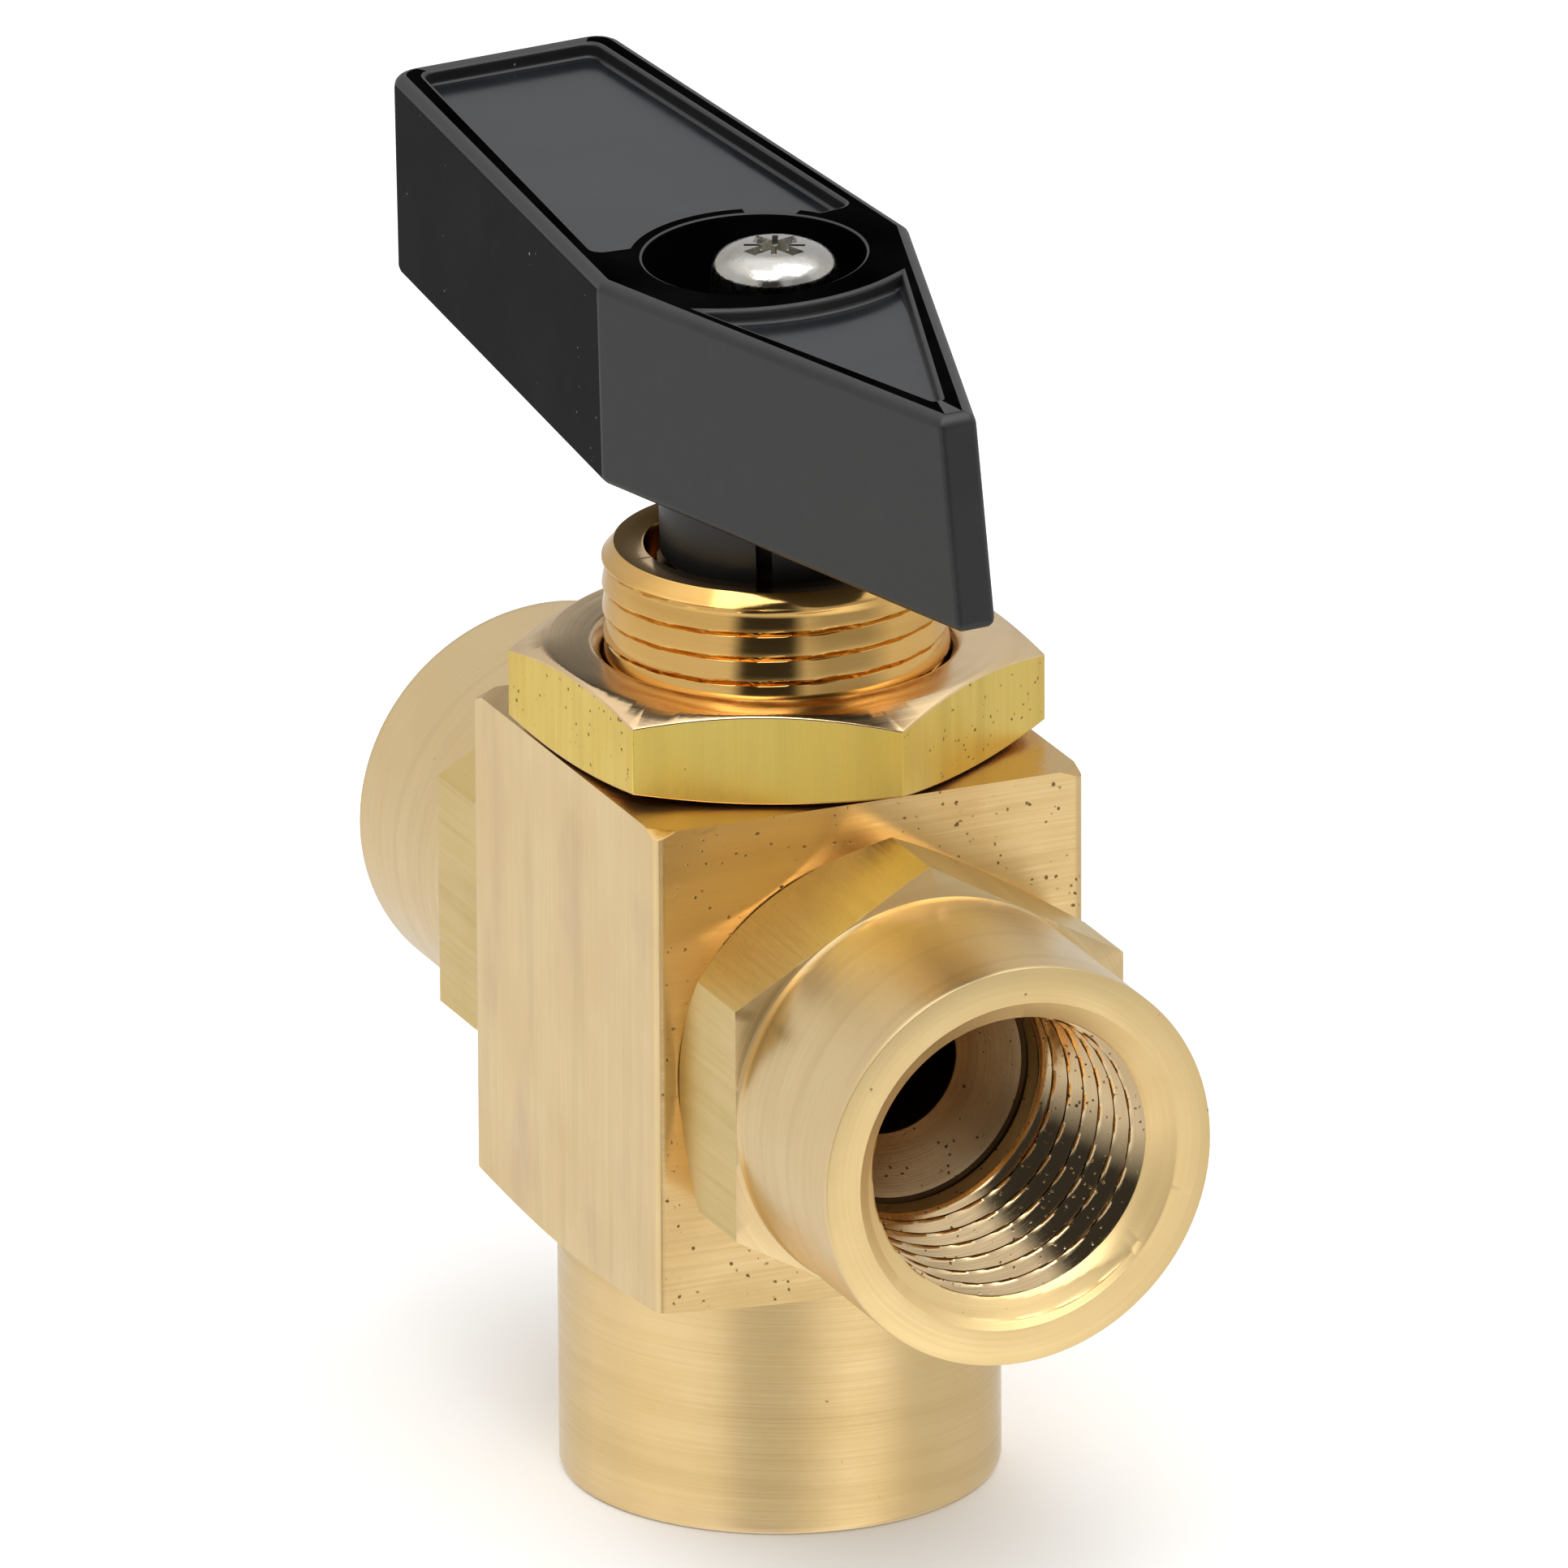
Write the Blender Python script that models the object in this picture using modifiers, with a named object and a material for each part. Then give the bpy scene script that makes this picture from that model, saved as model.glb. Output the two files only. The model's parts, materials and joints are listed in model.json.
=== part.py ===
"""Three way ball valve: square brass body, two screwed end adapters, panel nut, pointer handle.

Frame: +Z up, ports along X and downwards, origin under the middle of the whole valve, on the
bottom face. Every piece is placed from the valve centre, the point where the port axis meets
the stem axis. The pieces that turn with the handle hang on an empty on the stem axis.
"""
import math

import bmesh
import bpy
from mathutils import Matrix

MM = 0.001

# Driving dimensions in millimetres. Heights and reaches count from the valve centre.
BAR = 19.05              # square bar the body is turned from, 3/4 inch
BLOCK_TOP = 10.78        # flat top of the square block
BLOCK_BOTTOM = -10.58    # where the shallow shoulder meets the lower boss
SHOULDER_RISE = 0.58     # how far that shoulder rises to the corners of the block
BAR_CORNER = 13.6        # radius just outside the corners of the bar
CORNER_CHAMFER = 12.76   # radius where the top corners start to fall away
CORNER_DROP = 0.48       # and how far they fall
BAR_EDGE = 0.4           # bevel of the upright edges of the bar
BOSS_RADIUS = 9.15       # round boss of the bottom port
BOSS_END = -21.12        # bottom face of the valve
END_CHAMFER = 0.25       # outer edge of every port's end face
NECK_RADIUS = 7.144      # 9/16 inch panel thread
NECK_TOP = 19.05
NECK_CHAMFER = 0.5       # lead-in of the panel thread
NECK_RIM = 6.62          # outer radius of the neck's end face
NECK_BORE = 5.41         # gland thread
BORE_COUNTERSINK = 0.15
GLAND_FLOOR = 7.9        # ledge under the stem flange
STEM_HOLE = 3.1
PORT_BORE = 6.5          # bore for the adapter noses
PORT_THREAD = 7.2        # counterbore for the adapter threads
PORT_THREAD_START = 7.0
PASSAGE = 3.25           # flow passage
SOCKET_INNER = 5.75      # 1/4 inch tapered pipe thread, mean radius at its inner end
SOCKET_OUTER = 6.2       # and near its mouth
SOCKET_RELIEF = 5.65
MOUTH_RADIUS = 7.0       # countersink of a port mouth
MOUTH_DEPTH = 0.4
PORT_REACH = 24.33        # end face of an adapter
ADAPTER_HEX = 17.2       # hexagon across flats
ADAPTER_HEX_END = 15.47
ADAPTER_CONE_START = 8.55  # the hexagon's body side is a cone from this radius
ADAPTER_CONE_END = 11.66
ADAPTER_BOSS = 8.5
NOSE_END = 3.4
SEAT_POCKET = 5.5        # radius of the seat's pocket in the nose
SEAT_POCKET_END = 5.4
SEAT_FIT = 0.08          # clearance of a seat from its pocket and from the ball
GROOVE_RADIUS = 5.5      # floor of the O-ring groove round the nose
GROOVE_LOW = 5.9
GROOVE_HIGH = 7.0
O_RING_RADIUS = 5.98     # to the middle of its section
O_RING_SECTION = 0.44
NUT_HEX = 19.05
NUT_HEIGHT = 3.92
NUT_FACE = 9.3           # radius of the nut's turned faces, inside its chamfers
NUT_CHAMFER_HIGH = 0.66
NUT_CHAMFER_LOW = 0.45
NUT_COUNTERSINK = 0.35
NUT_TURN = 4.3           # degrees from +X to the first corner of the nut
BALL_RADIUS = 5.75
BALL_PORT = 3.1
BALL_PORT_OVERLAP = 2.0  # how far the legs of the port run past each other
BALL_SLOT_FLOOR = 4.0    # slot that the stem's tang drives
STEM_RADIUS = 3.0
STEM_TOP = 25.3
STEM_FLAT = 2.2          # half the width over the flats for the handle
TANG_HALF = 1.0
TANG_END = 4.1
TANG_SHOULDER = 5.9
FLANGE_RADIUS = 4.6      # thrust flange of the stem
FLANGE_LOW = 8.5
FLANGE_HIGH = 9.7
TAP_RADIUS = 1.3
TAP_FLOOR = 21.2
STOP_HEIGHT = 17.1       # cross pin in the stem
STOP_PIN = 0.6
STOP_PIN_ENDS = (-2.9, 5.0)
THRUST_WASHER = (7.95, 8.45)     # low and high faces of the rings round the stem
PACKING_LOWER = (9.75, 10.75)
PACKING_UPPER = (10.8, 11.8)
FOLLOWER = (11.85, 12.65)
SPRING_LOW = 12.7                # disc spring: thickness, and rise from rim to bore
SPRING_THICK = 0.3
SPRING_RISE = 0.25
GLAND_LOW = 13.3
CROWN_LOW = 16.0                 # the gland nut's crown, cut away where the pin swings
CROWN_HIGH = 18.3
CROWN_INNER = 3.8
CROWN_OUTER = 4.9
HANDLE_BOTTOM = 22.15
HANDLE_TOP = 31.0
HANDLE_REAR = 28.3       # reach behind the stem axis
HUB_RADIUS = 4.83
HUB_BOTTOM = 18.6
WELL_X = -1.45           # the screw well sits behind the stem axis
WELL_RADIUS = 4.55
WELL_FLOOR = 26.5
PILLAR_RADIUS = 2.5
PILLAR_TOP = 28.5
HEAD_RADIUS = 2.6        # M2.5 pan head screw
HEAD_SEAT = 29.1
HEAD_TOP = 31.75
SCREW_LENGTH = 7.5
SHANK_RADIUS = 1.2
GAP = 0.1                # clearance between neighbours
OVERCUT = 0.5            # how far a cutter runs past a face
STEPS = 40               # facets of a full turn on the large pieces
INNER_STEPS = 24         # and on the pieces inside

# The handle's outline, stem axis at 0: x and half width at its rear, widest place and tip.
OUTLINE_BOTTOM = ((-HANDLE_REAR, 5.10), (-1.5, 7.02), (20.3, 0.8))
OUTLINE_TOP = ((-28.15, 5.02), (-1.55, 6.92), (19.0, 0.78))
RIM = 1.05               # width of the rim around the recessed top panels
RECESS = 0.65            # depth of the top panels
RING_RADIUS = 6.2        # raised ring around the screw well

# Where the valve centre lies: the origin is under the middle of the whole valve.
CENTRE_X = (HANDLE_REAR - PORT_REACH) / 2
CENTRE_Z = -BOSS_END

BRASS = ((0.80, 0.58, 0.28), 0.30, 1.0)
STEEL = ((0.72, 0.72, 0.72), 0.25, 1.0)
PTFE = ((0.88, 0.88, 0.85), 0.45, 0.0)
RUBBER = ((0.03, 0.03, 0.03), 0.65, 0.0)
BLACK_NYLON = ((0.035, 0.035, 0.038), 0.42, 0.0)

ALONG_PLUS_X = math.radians(90)
ALONG_MINUS_X = math.radians(-90)


def clear_scene():
    for obj in list(bpy.data.objects):
        bpy.data.objects.remove(obj, do_unlink=True)


def make_collection(name):
    collection = bpy.data.collections.new(name)
    bpy.context.scene.collection.children.link(collection)
    return collection


def make_empty(name, location, parent=None):
    empty = bpy.data.objects.new(name, None)
    empty.empty_display_size = 5 * MM
    empty.location = [value * MM for value in location]
    empty.parent = parent
    PARTS.objects.link(empty)
    return empty


def place(obj, parent, finish):
    """Link a finished piece, hang it on its empty and give it its own material."""
    colour, roughness, metallic = finish
    material = bpy.data.materials.new(obj.name + "_finish")
    material.use_nodes = True
    shader = material.node_tree.nodes["Principled BSDF"]
    shader.inputs["Base Color"].default_value = (*colour, 1)
    shader.inputs["Roughness"].default_value = roughness
    shader.inputs["Metallic"].default_value = metallic
    obj.data.materials.append(material)
    obj.parent = parent
    PARTS.objects.link(obj)
    return obj


def cutter(obj, parent):
    obj.parent = parent
    obj.hide_render = True
    obj.display_type = "WIRE"
    CUTTERS.objects.link(obj)
    return obj


def boolean(obj, tool, operation="DIFFERENCE"):
    modifier = obj.modifiers.new(tool.name, "BOOLEAN")
    modifier.operation = operation
    modifier.solver = "EXACT"
    modifier.object = tool
    return obj


def turned(name, profile, ring=False, tilt=0.0, steps=STEPS):
    """Turn (radius, height) points about Z. The profile runs down the outer side; a ring's
    profile comes back up its bore and closes. tilt turns the piece about Y onto the port axis."""
    mesh = bpy.data.meshes.new(name)
    points = [(radius * MM, 0, height * MM) for radius, height in profile]
    edges = [(i, i + 1) for i in range(len(points) - 1)]
    if ring:
        edges.append((len(points) - 1, 0))
    mesh.from_pydata(points, edges, [])
    obj = bpy.data.objects.new(name, mesh)
    obj.rotation_euler.y = tilt
    screw = obj.modifiers.new("turn", "SCREW")
    screw.axis = "Z"
    screw.steps = steps
    screw.render_steps = steps
    screw.use_merge_vertices = True
    screw.merge_threshold = 0.000001
    return obj


def mesh_object(name, bm):
    mesh = bpy.data.meshes.new(name)
    bmesh.ops.recalc_face_normals(bm, faces=bm.faces[:])
    bm.to_mesh(mesh)
    bm.free()
    return bpy.data.objects.new(name, mesh)


def rod(name, radius, low, high, tilt=0.0, segments=STEPS, turn=0.0):
    """A round bar, or a prism with few segments, from low to high along its own axis."""
    bm = bmesh.new()
    depth = (high - low) * MM
    middle = Matrix.Translation((0, 0, (high + low) / 2 * MM))
    bmesh.ops.create_cone(bm, cap_ends=True, segments=segments, radius1=radius * MM,
                          radius2=radius * MM, depth=depth,
                          matrix=middle @ Matrix.Rotation(turn, 4, "Z"))
    obj = mesh_object(name, bm)
    obj.rotation_euler.y = tilt
    return obj


def block(name, low, high):
    """A box between two corners."""
    bm = bmesh.new()
    size = [(b - a) * MM for a, b in zip(low, high)]
    centre = [(b + a) / 2 * MM for a, b in zip(low, high)]
    place_box = Matrix.Translation(centre) @ Matrix.Diagonal((*size, 1))
    bmesh.ops.create_cube(bm, size=1, matrix=place_box)
    return mesh_object(name, bm)


def hexagon(name, across_flats, low, high, tilt=0.0, turn=0.0):
    return rod(name, across_flats / math.sqrt(3), low, high, tilt, 6, turn)


def ring_between(name, inner, outer, low, high, tilt=0.0):
    profile = [(outer, high), (outer, low), (inner, low), (inner, high)]
    return turned(name, profile, True, tilt, INNER_STEPS)


def socket_profile(mouth, direction):
    """The tapered thread socket from its mouth inwards; direction is +1 where out is up."""
    depths = ((MOUTH_RADIUS, 0), (SOCKET_OUTER, MOUTH_DEPTH), (SOCKET_INNER, 11.0),
              (SOCKET_RELIEF, 11.1), (SOCKET_RELIEF, 11.6), (PASSAGE, 13.65))
    return [(radius, mouth - direction * depth) for radius, depth in depths]


def make_body():
    """Square block, neck and lower boss turned from one bar, then bored from all sides."""
    blank = [(0, NECK_TOP), (NECK_RIM, NECK_TOP), (NECK_RADIUS, NECK_TOP - NECK_CHAMFER),
             (NECK_RADIUS, BLOCK_TOP), (CORNER_CHAMFER, BLOCK_TOP),
             (BAR_CORNER, BLOCK_TOP - CORNER_DROP), (BAR_CORNER, BLOCK_BOTTOM + SHOULDER_RISE),
             (BOSS_RADIUS, BLOCK_BOTTOM), (BOSS_RADIUS, BOSS_END + END_CHAMFER),
             (BOSS_RADIUS - END_CHAMFER, BOSS_END), (0, BOSS_END)]
    body = turned("valve_body", blank)
    bar = block("cut_square_bar", (-BAR / 2, -BAR / 2, -BAR * 2), (BAR / 2, BAR / 2, BAR * 2))
    edges = bar.modifiers.new("upright_edges", "BEVEL")
    edges.width = BAR_EDGE * MM
    edges.segments = 2
    boolean(body, cutter(bar, CENTRE), "INTERSECT")

    socket = socket_profile(BOSS_END, -1)
    rim = NECK_BORE + BORE_COUNTERSINK + OVERCUT
    upright = [(0, NECK_TOP + OVERCUT), (rim, NECK_TOP + OVERCUT),
               (NECK_BORE, NECK_TOP - BORE_COUNTERSINK), (NECK_BORE, GLAND_FLOOR),
               (STEM_HOLE, GLAND_FLOOR), (STEM_HOLE, 0), (PASSAGE, 0), *reversed(socket),
               (MOUTH_RADIUS + OVERCUT, BOSS_END - OVERCUT), (0, BOSS_END - OVERCUT)]
    boolean(body, cutter(turned("cut_upright_bore", upright), CENTRE))

    across = [(0, BAR), (PORT_THREAD, BAR), (PORT_THREAD, PORT_THREAD_START),
              (PORT_BORE, PORT_THREAD_START), (PORT_BORE, -PORT_THREAD_START),
              (PORT_THREAD, -PORT_THREAD_START), (PORT_THREAD, -BAR), (0, -BAR)]
    boolean(body, cutter(turned("cut_port_bore", across, tilt=ALONG_PLUS_X), CENTRE))
    return place(body, CENTRE, BRASS)


def make_adapter(side, tilt):
    """End fitting: seat pocket and O-ring groove on its nose, hexagon, round threaded end."""
    nose = PORT_BORE - GAP
    thread = PORT_THREAD - GAP
    face = BAR / 2 + GAP
    corner = ADAPTER_HEX / math.sqrt(3)
    profile = [(ADAPTER_BOSS - END_CHAMFER, PORT_REACH), (ADAPTER_BOSS, PORT_REACH - END_CHAMFER),
               (ADAPTER_BOSS, ADAPTER_HEX_END), (corner, ADAPTER_HEX_END),
               (corner, ADAPTER_CONE_END), (ADAPTER_CONE_START, face), (thread, face),
               (thread, PORT_THREAD_START + GAP), (nose, PORT_THREAD_START + GAP),
               (nose, GROOVE_HIGH), (GROOVE_RADIUS, GROOVE_HIGH), (GROOVE_RADIUS, GROOVE_LOW),
               (nose, GROOVE_LOW), (nose, NOSE_END), (SEAT_POCKET, NOSE_END),
               (SEAT_POCKET, SEAT_POCKET_END), (PASSAGE, SEAT_POCKET_END),
               *reversed(socket_profile(PORT_REACH, 1))]
    adapter = turned("end_adapter_" + side, profile, True, tilt)
    flats = hexagon("cut_hexagon_" + side, ADAPTER_HEX, 0, PORT_REACH + OVERCUT, tilt,
                    math.radians(90))
    boolean(adapter, cutter(flats, CENTRE), "INTERSECT")
    return place(adapter, CENTRE, BRASS)


def make_seat(side, tilt):
    """PTFE ring with a hollow spherical face that the ball turns in."""
    inner = PASSAGE
    outer = SEAT_POCKET - SEAT_FIT
    front = NOSE_END + GAP / 2
    back = SEAT_POCKET_END - GAP / 2
    face_radius = BALL_RADIUS + SEAT_FIT
    rim = math.sqrt(face_radius ** 2 - front ** 2)
    start = math.atan2(inner, math.sqrt(face_radius ** 2 - inner ** 2))
    stop = math.atan2(rim, front)
    arc = []
    for i in range(5):
        angle = stop + (start - stop) * i / 4
        arc.append((face_radius * math.sin(angle), face_radius * math.cos(angle)))
    profile = [(outer, back), (outer, front), *arc, (inner, back)]
    return place(turned("seat_" + side, profile, True, tilt, INNER_STEPS), CENTRE, PTFE)


def make_o_ring(side, tilt):
    sign = 1 if tilt > 0 else -1
    bpy.ops.mesh.primitive_torus_add(major_radius=O_RING_RADIUS * MM,
                                     minor_radius=O_RING_SECTION * MM,
                                     major_segments=INNER_STEPS, minor_segments=6)
    ring = bpy.context.active_object
    for collection in list(ring.users_collection):
        collection.objects.unlink(ring)
    ring.name = "adapter_o_ring_" + side
    ring.rotation_euler.y = tilt
    ring.location = (sign * (GROOVE_LOW + GROOVE_HIGH) / 2 * MM, 0, 0)
    return place(ring, CENTRE, RUBBER)


def make_ball():
    """Ball with an L shaped port: open towards the handle's pointer and downwards."""
    bm = bmesh.new()
    bmesh.ops.create_uvsphere(bm, u_segments=32, v_segments=16, radius=BALL_RADIUS * MM)
    ball = mesh_object("ball", bm)
    past = BALL_RADIUS + 1
    side_leg = rod("cut_ball_side", BALL_PORT, -BALL_PORT_OVERLAP, past, ALONG_PLUS_X,
                   INNER_STEPS)
    lower_leg = rod("cut_ball_lower", BALL_PORT, -past, BALL_PORT_OVERLAP, 0, INNER_STEPS)
    slot = block("cut_ball_slot", (-TANG_HALF - GAP, -past, BALL_SLOT_FLOOR),
                 (TANG_HALF + GAP, past, past))
    for tool in (side_leg, lower_leg, slot):
        boolean(ball, cutter(tool, STEM_AXIS))
    return place(ball, STEM_AXIS, STEEL)


def make_stem():
    """Stem with a tang below, a thrust flange, and two flats and a tapped hole on top."""
    shank = STEM_HOLE - 0.15
    profile = [(0, STEM_TOP), (STEM_RADIUS - 0.2, STEM_TOP), (STEM_RADIUS, STEM_TOP - 0.2),
               (STEM_RADIUS, FLANGE_HIGH), (FLANGE_RADIUS, FLANGE_HIGH),
               (FLANGE_RADIUS, FLANGE_LOW), (shank, FLANGE_LOW), (shank, TANG_END), (0, TANG_END)]
    stem = turned("stem", profile, False, 0.0, INNER_STEPS)
    for sign, word in ((1, "right"), (-1, "left")):
        x = sorted((sign * TANG_HALF, sign * 4))
        tang = block("cut_tang_" + word, (x[0], -4, TANG_END - OVERCUT), (x[1], 4, TANG_SHOULDER))
        boolean(stem, cutter(tang, STEM_AXIS))
        y = sorted((sign * STEM_FLAT, sign * 4))
        flat = block("cut_flat_" + word, (-4, y[0], HUB_BOTTOM - GAP), (4, y[1], STEM_TOP + 1))
        boolean(stem, cutter(flat, STEM_AXIS))
    tapping = rod("cut_tapping", TAP_RADIUS, TAP_FLOOR, STEM_TOP + OVERCUT, 0, INNER_STEPS)
    boolean(stem, cutter(tapping, STEM_AXIS))
    cross = rod("cut_cross_hole", STOP_PIN + GAP, -5, 5, ALONG_PLUS_X, 16)
    cross.location.z = STOP_HEIGHT * MM
    boolean(stem, cutter(cross, STEM_AXIS))
    return place(stem, STEM_AXIS, STEEL)


def make_stop_pin():
    pin = rod("stop_pin", STOP_PIN, *STOP_PIN_ENDS, ALONG_PLUS_X, 16)
    pin.location.z = STOP_HEIGHT * MM
    return place(pin, STEM_AXIS, STEEL)


def make_gland():
    """Washer, packing, follower, disc spring and gland nut, stacked from the stem flange up."""
    bore = NECK_BORE - GAP
    place(ring_between("stem_thrust_washer", STEM_HOLE, bore, *THRUST_WASHER), CENTRE, PTFE)
    place(ring_between("packing_ring_lower", STEM_HOLE, bore, *PACKING_LOWER), CENTRE, PTFE)
    place(ring_between("packing_ring_upper", STEM_HOLE, bore, *PACKING_UPPER), CENTRE, PTFE)
    place(ring_between("gland_follower", STEM_HOLE, bore, *FOLLOWER), CENTRE, BRASS)
    spring_rim = bore - GAP
    spring_bore = STEM_HOLE + 2 * GAP
    disc = [(spring_rim, SPRING_LOW + SPRING_THICK), (spring_rim, SPRING_LOW),
            (spring_bore, SPRING_LOW + SPRING_RISE),
            (spring_bore, SPRING_LOW + SPRING_RISE + SPRING_THICK)]
    place(turned("packing_spring", disc, True, 0.0, INNER_STEPS), CENTRE, STEEL)

    crown = [(CROWN_OUTER, CROWN_HIGH), (CROWN_OUTER, CROWN_LOW), (bore, CROWN_LOW),
             (bore, GLAND_LOW), (STEM_HOLE, GLAND_LOW), (STEM_HOLE, CROWN_LOW),
             (CROWN_INNER, CROWN_LOW), (CROWN_INNER, CROWN_HIGH)]
    nut = turned("gland_nut", crown, True, 0.0, INNER_STEPS)
    travel = block("cut_pin_travel", (-NECK_RADIUS, -STOP_PIN - GAP, CROWN_LOW - GAP),
                   (NECK_RADIUS, NECK_RADIUS, CROWN_HIGH + OVERCUT))
    boolean(nut, cutter(travel, CENTRE))
    place(nut, CENTRE, BRASS)


def make_panel_nut():
    low = BLOCK_TOP + GAP
    high = low + NUT_HEIGHT
    bore = NECK_RADIUS + GAP
    corner = NUT_HEX / math.sqrt(3) + 0.05
    mouth = bore + NUT_COUNTERSINK
    profile = [(NUT_FACE, high), (corner, high - NUT_CHAMFER_HIGH),
               (corner, low + NUT_CHAMFER_LOW), (NUT_FACE, low), (mouth, low),
               (bore, low + NUT_COUNTERSINK), (bore, high - NUT_COUNTERSINK), (mouth, high)]
    nut = turned("panel_nut", profile, True)
    turn = math.radians(NUT_TURN + 90)
    flats = hexagon("cut_nut_hexagon", NUT_HEX, low - 1, high + 1, 0, turn)
    boolean(nut, cutter(flats, CENTRE), "INTERSECT")
    return place(nut, CENTRE, BRASS)


def outline_points(stations, inset=0.0):
    """The closed outline through three stations, mirrored over X, moved in by inset."""
    (rear, rear_half), (wide, wide_half), (tip, tip_half) = stations
    rear += inset
    tip -= inset * 3
    right = [(rear, rear_half - inset), (wide, wide_half - inset), (tip, tip_half)]
    return [(x, -y) for x, y in right] + [(x, y) for x, y in reversed(right)]


def loft(name, lower, z_low, upper, z_high):
    """A solid between two outlines with the same number of points."""
    bm = bmesh.new()
    floor = [bm.verts.new((x * MM, y * MM, z_low * MM)) for x, y in lower]
    roof = [bm.verts.new((x * MM, y * MM, z_high * MM)) for x, y in upper]
    bm.faces.new(floor)
    bm.faces.new(roof)
    count = len(floor)
    for i in range(count):
        j = (i + 1) % count
        bm.faces.new((floor[i], floor[j], roof[j], roof[i]))
    return mesh_object(name, bm)


def make_handle():
    """Moulded pointer handle: drafted bar, hub below, recessed panels and screw well above."""
    handle = loft("handle", outline_points(OUTLINE_BOTTOM), HANDLE_BOTTOM,
                  outline_points(OUTLINE_TOP), HANDLE_TOP)
    edges = handle.modifiers.new("moulded_edges", "BEVEL")
    edges.width = 0.5 * MM
    edges.segments = 2
    edges.limit_method = "ANGLE"
    edges.angle_limit = math.radians(35)
    hub = rod("add_hub", HUB_RADIUS, HUB_BOTTOM, HANDLE_BOTTOM + 2)
    boolean(handle, cutter(hub, STEM_AXIS), "UNION")

    inner = outline_points(OUTLINE_TOP, RIM)
    panels = loft("cut_top_panels", inner, HANDLE_TOP - RECESS, inner, HANDLE_TOP + 1)
    ring = rod("cut_panels_ring", RING_RADIUS, HANDLE_TOP - 2, HANDLE_TOP + 2)
    ring.location.x = WELL_X * MM
    boolean(panels, cutter(ring, STEM_AXIS))
    boolean(handle, cutter(panels, STEM_AXIS))

    well = rod("cut_screw_well", WELL_RADIUS, WELL_FLOOR, HANDLE_TOP + 1)
    well.location.x = WELL_X * MM
    pillar = rod("cut_well_pillar", PILLAR_RADIUS, WELL_FLOOR - 1, PILLAR_TOP, 0, INNER_STEPS)
    boolean(well, cutter(pillar, STEM_AXIS))
    boolean(handle, cutter(well, STEM_AXIS))

    socket = rod("cut_stem_socket", STEM_RADIUS + GAP, HUB_BOTTOM - 1, STEM_TOP + GAP, 0, INNER_STEPS)
    reach = STEM_FLAT + GAP
    flats = block("cut_socket_flats", (-5, -reach, HUB_BOTTOM - 2), (5, reach, STEM_TOP + 2))
    boolean(socket, cutter(flats, STEM_AXIS), "INTERSECT")
    boolean(handle, cutter(socket, STEM_AXIS))
    clearance = rod("cut_screw_clearance", SHANK_RADIUS + 0.25, STEM_TOP - 1, PILLAR_TOP + 1, 0,
                    INNER_STEPS)
    boolean(handle, cutter(clearance, STEM_AXIS))

    slit = block("cut_hub_slit", (3.8, -0.35, HUB_BOTTOM - 1), (6, 0.35, HANDLE_BOTTOM - 0.2))
    slit.rotation_euler.z = math.radians(-30)
    boolean(handle, cutter(slit, STEM_AXIS))
    return place(handle, STEM_AXIS, BLACK_NYLON)


def make_handle_screw():
    """Pan head screw with a cross recess."""
    tip = HEAD_SEAT - SCREW_LENGTH
    profile = [(0, HEAD_TOP)]
    for i in range(1, 5):
        angle = math.radians(90 * i / 4)
        radius = 0.9 + (HEAD_RADIUS - 0.9) * math.sin(angle)
        profile.append((radius, HEAD_TOP - 1.05 * (1 - math.cos(angle))))
    profile += [(HEAD_RADIUS, HEAD_SEAT), (SHANK_RADIUS, HEAD_SEAT), (SHANK_RADIUS, tip + 0.3),
                (SHANK_RADIUS - 0.3, tip), (0, tip)]
    screw = turned("handle_screw", profile, False, 0.0, INNER_STEPS)
    for turn, word in ((0, "long"), (90, "cross")):
        arm = block("cut_recess_" + word, (-1.3, -0.3, HEAD_TOP - 1.2), (1.3, 0.3, HEAD_TOP + 1))
        arm.rotation_euler.z = math.radians(turn + 20)
        boolean(screw, cutter(arm, STEM_AXIS))
    return place(screw, STEM_AXIS, STEEL)


def make_lock_washer():
    washer = ring_between("lock_washer", SHANK_RADIUS + 0.15, 2.2, PILLAR_TOP + GAP / 2,
                          HEAD_SEAT - GAP / 2)
    split = block("cut_washer_split", (1, -0.15, PILLAR_TOP - 1), (3, 0.15, HEAD_SEAT + 1))
    boolean(washer, cutter(split, STEM_AXIS))
    return place(washer, STEM_AXIS, STEEL)


clear_scene()
PARTS = make_collection("three_way_valve")
CUTTERS = make_collection("cutters")
CENTRE = make_empty("valve_centre", (CENTRE_X, 0, CENTRE_Z))
STEM_AXIS = make_empty("stem_axis", (0, 0, 0), CENTRE)

make_body()
for side, tilt in (("right", ALONG_PLUS_X), ("left", ALONG_MINUS_X)):
    make_adapter(side, tilt)
    make_seat(side, tilt)
    make_o_ring(side, tilt)
make_ball()
make_stem()
make_stop_pin()
make_gland()
make_panel_nut()
make_handle()
make_handle_screw()
make_lock_washer()
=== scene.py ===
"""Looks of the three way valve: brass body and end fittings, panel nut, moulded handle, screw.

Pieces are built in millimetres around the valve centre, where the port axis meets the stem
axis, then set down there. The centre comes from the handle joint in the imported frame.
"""
import json
import math

import bmesh
import bpy
from mathutils import Matrix, Vector


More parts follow.
